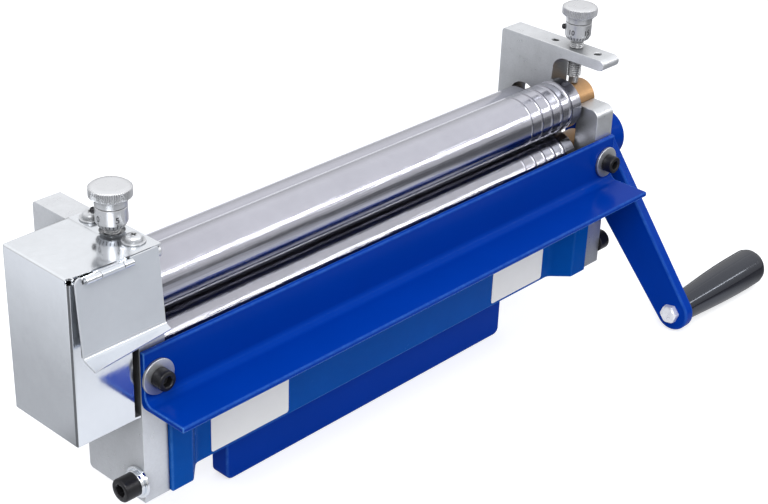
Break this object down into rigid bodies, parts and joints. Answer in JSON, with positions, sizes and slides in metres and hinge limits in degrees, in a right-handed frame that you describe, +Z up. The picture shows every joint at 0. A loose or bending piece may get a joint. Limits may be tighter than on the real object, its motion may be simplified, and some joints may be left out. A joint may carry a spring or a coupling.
{
  "type": "roll bending machine",
  "caption": "Hand-cranked three-roller slip roll with geared rollers, dial adjusters and a tongue for a bench vise.",
  "frame": {"origin": "middle of the beam's underside in front of the tongue, the shoulder that sits on the vise's fixed jaw", "axes": "+X along the rollers towards the crank, +Y from the front to the rear roller, +Z up"},
  "size_m": [0.4856, 0.1351, 0.1879],
  "materials": {
    "zinc_plate": "bright zinc",
    "blue_paint": "gloss",
    "ground_steel": "ground",
    "black_oxide": "satin",
    "bronze": "machined",
    "knob_steel": "satin",
    "gear_steel": "satin",
    "grip_plastic": "satin",
    "label_white": "satin"
  },
  "bodies": {
    "frame": {"left_end_plate": "zinc_plate", "right_end_plate": "zinc_plate", "base_beam": "blue_paint", "vise_tongue": "blue_paint", "front_angle": "blue_paint", "angle_screws": "black_oxide", "angle_washers": "zinc_plate", "side_screws": "black_oxide", "side_split_washer": "zinc_plate", "side_flat_washer": "zinc_plate", "gear_cover": "zinc_plate", "hinge_leaf": "zinc_plate", "hinge_pin": "zinc_plate", "cover_screws": "zinc_plate", "cover_washers": "zinc_plate", "lower_bushes": "bronze", "blank_labels": "label_white"},
    "flap": {"guard_flap": "zinc_plate"},
    "lower_roll": {"lower_roller": "ground_steel", "drive_gear": "gear_steel", "drive_key": "black_oxide", "lower_ring": "black_oxide", "crank_arm": "blue_paint", "crank_set_screw": "black_oxide", "grip_spindle": "zinc_plate"},
    "grip": {"crank_grip": "grip_plastic"},
    "top_carriage": {"top_bushes": "bronze"},
    "top_roll": {"top_roller": "ground_steel", "driven_gear": "gear_steel", "driven_key": "black_oxide", "top_ring": "black_oxide"},
    "left_top_adjuster": {"left_top_screw": "knob_steel", "left_top_knob": "knob_steel", "left_dial_ring": "knob_steel", "left_dial_screw": "black_oxide"},
    "right_top_adjuster": {"right_top_screw": "knob_steel", "right_top_knob": "knob_steel", "right_dial_ring": "knob_steel", "right_dial_screw": "black_oxide"},
    "rear_carriage": {"rear_bushes": "bronze"},
    "rear_roll": {"rear_roller": "ground_steel"},
    "left_rear_adjuster": {"left_rear_screw": "knob_steel", "left_rear_knob": "knob_steel"},
    "right_rear_adjuster": {"right_rear_screw": "knob_steel", "right_rear_knob": "knob_steel"}
  },
  "joints": [
    {"name": "crank_turn", "type": "hinge", "parent": "frame", "child": "lower_roll", "pos_m": [0, 0.01175, 0.068], "axis": [1, 0, 0], "continuous": true},
    {"name": "grip_spin", "type": "hinge", "parent": "lower_roll", "child": "grip", "pos_m": [0.235, -0.06278, -0.01958], "axis": [1, 0, 0], "continuous": true},
    {"name": "top_lift", "type": "slide", "parent": "frame", "child": "top_carriage", "axis": [0, 0, 1], "range_m": [-0.002, 0.003]},
    {"name": "top_spin", "type": "hinge", "parent": "top_carriage", "child": "top_roll", "pos_m": [0, 0.01175, 0.1003], "axis": [1, 0, 0], "continuous": true},
    {"name": "left_top_turn", "type": "hinge", "parent": "top_carriage", "child": "left_top_adjuster", "pos_m": [-0.1675, 0.01175, 0.14], "axis": [0, 0, 1], "range_deg": [-580, 868]},
    {"name": "right_top_turn", "type": "hinge", "parent": "top_carriage", "child": "right_top_adjuster", "pos_m": [0.1675, 0.01175, 0.14], "axis": [0, 0, 1], "range_deg": [-580, 868]},
    {"name": "rear_lift", "type": "slide", "parent": "frame", "child": "rear_carriage", "axis": [0, 0, 1], "range_m": [-0.008, 0.007]},
    {"name": "rear_spin", "type": "hinge", "parent": "rear_carriage", "child": "rear_roll", "pos_m": [0, 0.04175, 0.086], "axis": [1, 0, 0], "continuous": true},
    {"name": "left_rear_turn", "type": "hinge", "parent": "rear_carriage", "child": "left_rear_adjuster", "pos_m": [-0.1675, 0.04175, 0.055], "axis": [0, 0, 1], "range_deg": [-2308, 2020]},
    {"name": "right_rear_turn", "type": "hinge", "parent": "rear_carriage", "child": "right_rear_adjuster", "pos_m": [0.1675, 0.04175, 0.055], "axis": [0, 0, 1], "range_deg": [-2308, 2020]},
    {"name": "flap_open", "type": "hinge", "parent": "frame", "child": "flap", "pos_m": [-0.19, -0.01625, 0.13215], "axis": [-1, 0, 0], "range_deg": [0, 100]}
  ],
  "couplings": [
    {"joint": "top_spin", "follows": "crank_turn", "ratio": -1},
    {"joint": "left_top_turn", "follows": "top_lift", "rad_per_m": 5026.5},
    {"joint": "right_top_turn", "follows": "top_lift", "rad_per_m": 5026.5},
    {"joint": "left_rear_turn", "follows": "rear_lift", "rad_per_m": 5026.5},
    {"joint": "right_rear_turn", "follows": "rear_lift", "rad_per_m": 5026.5}
  ]
}
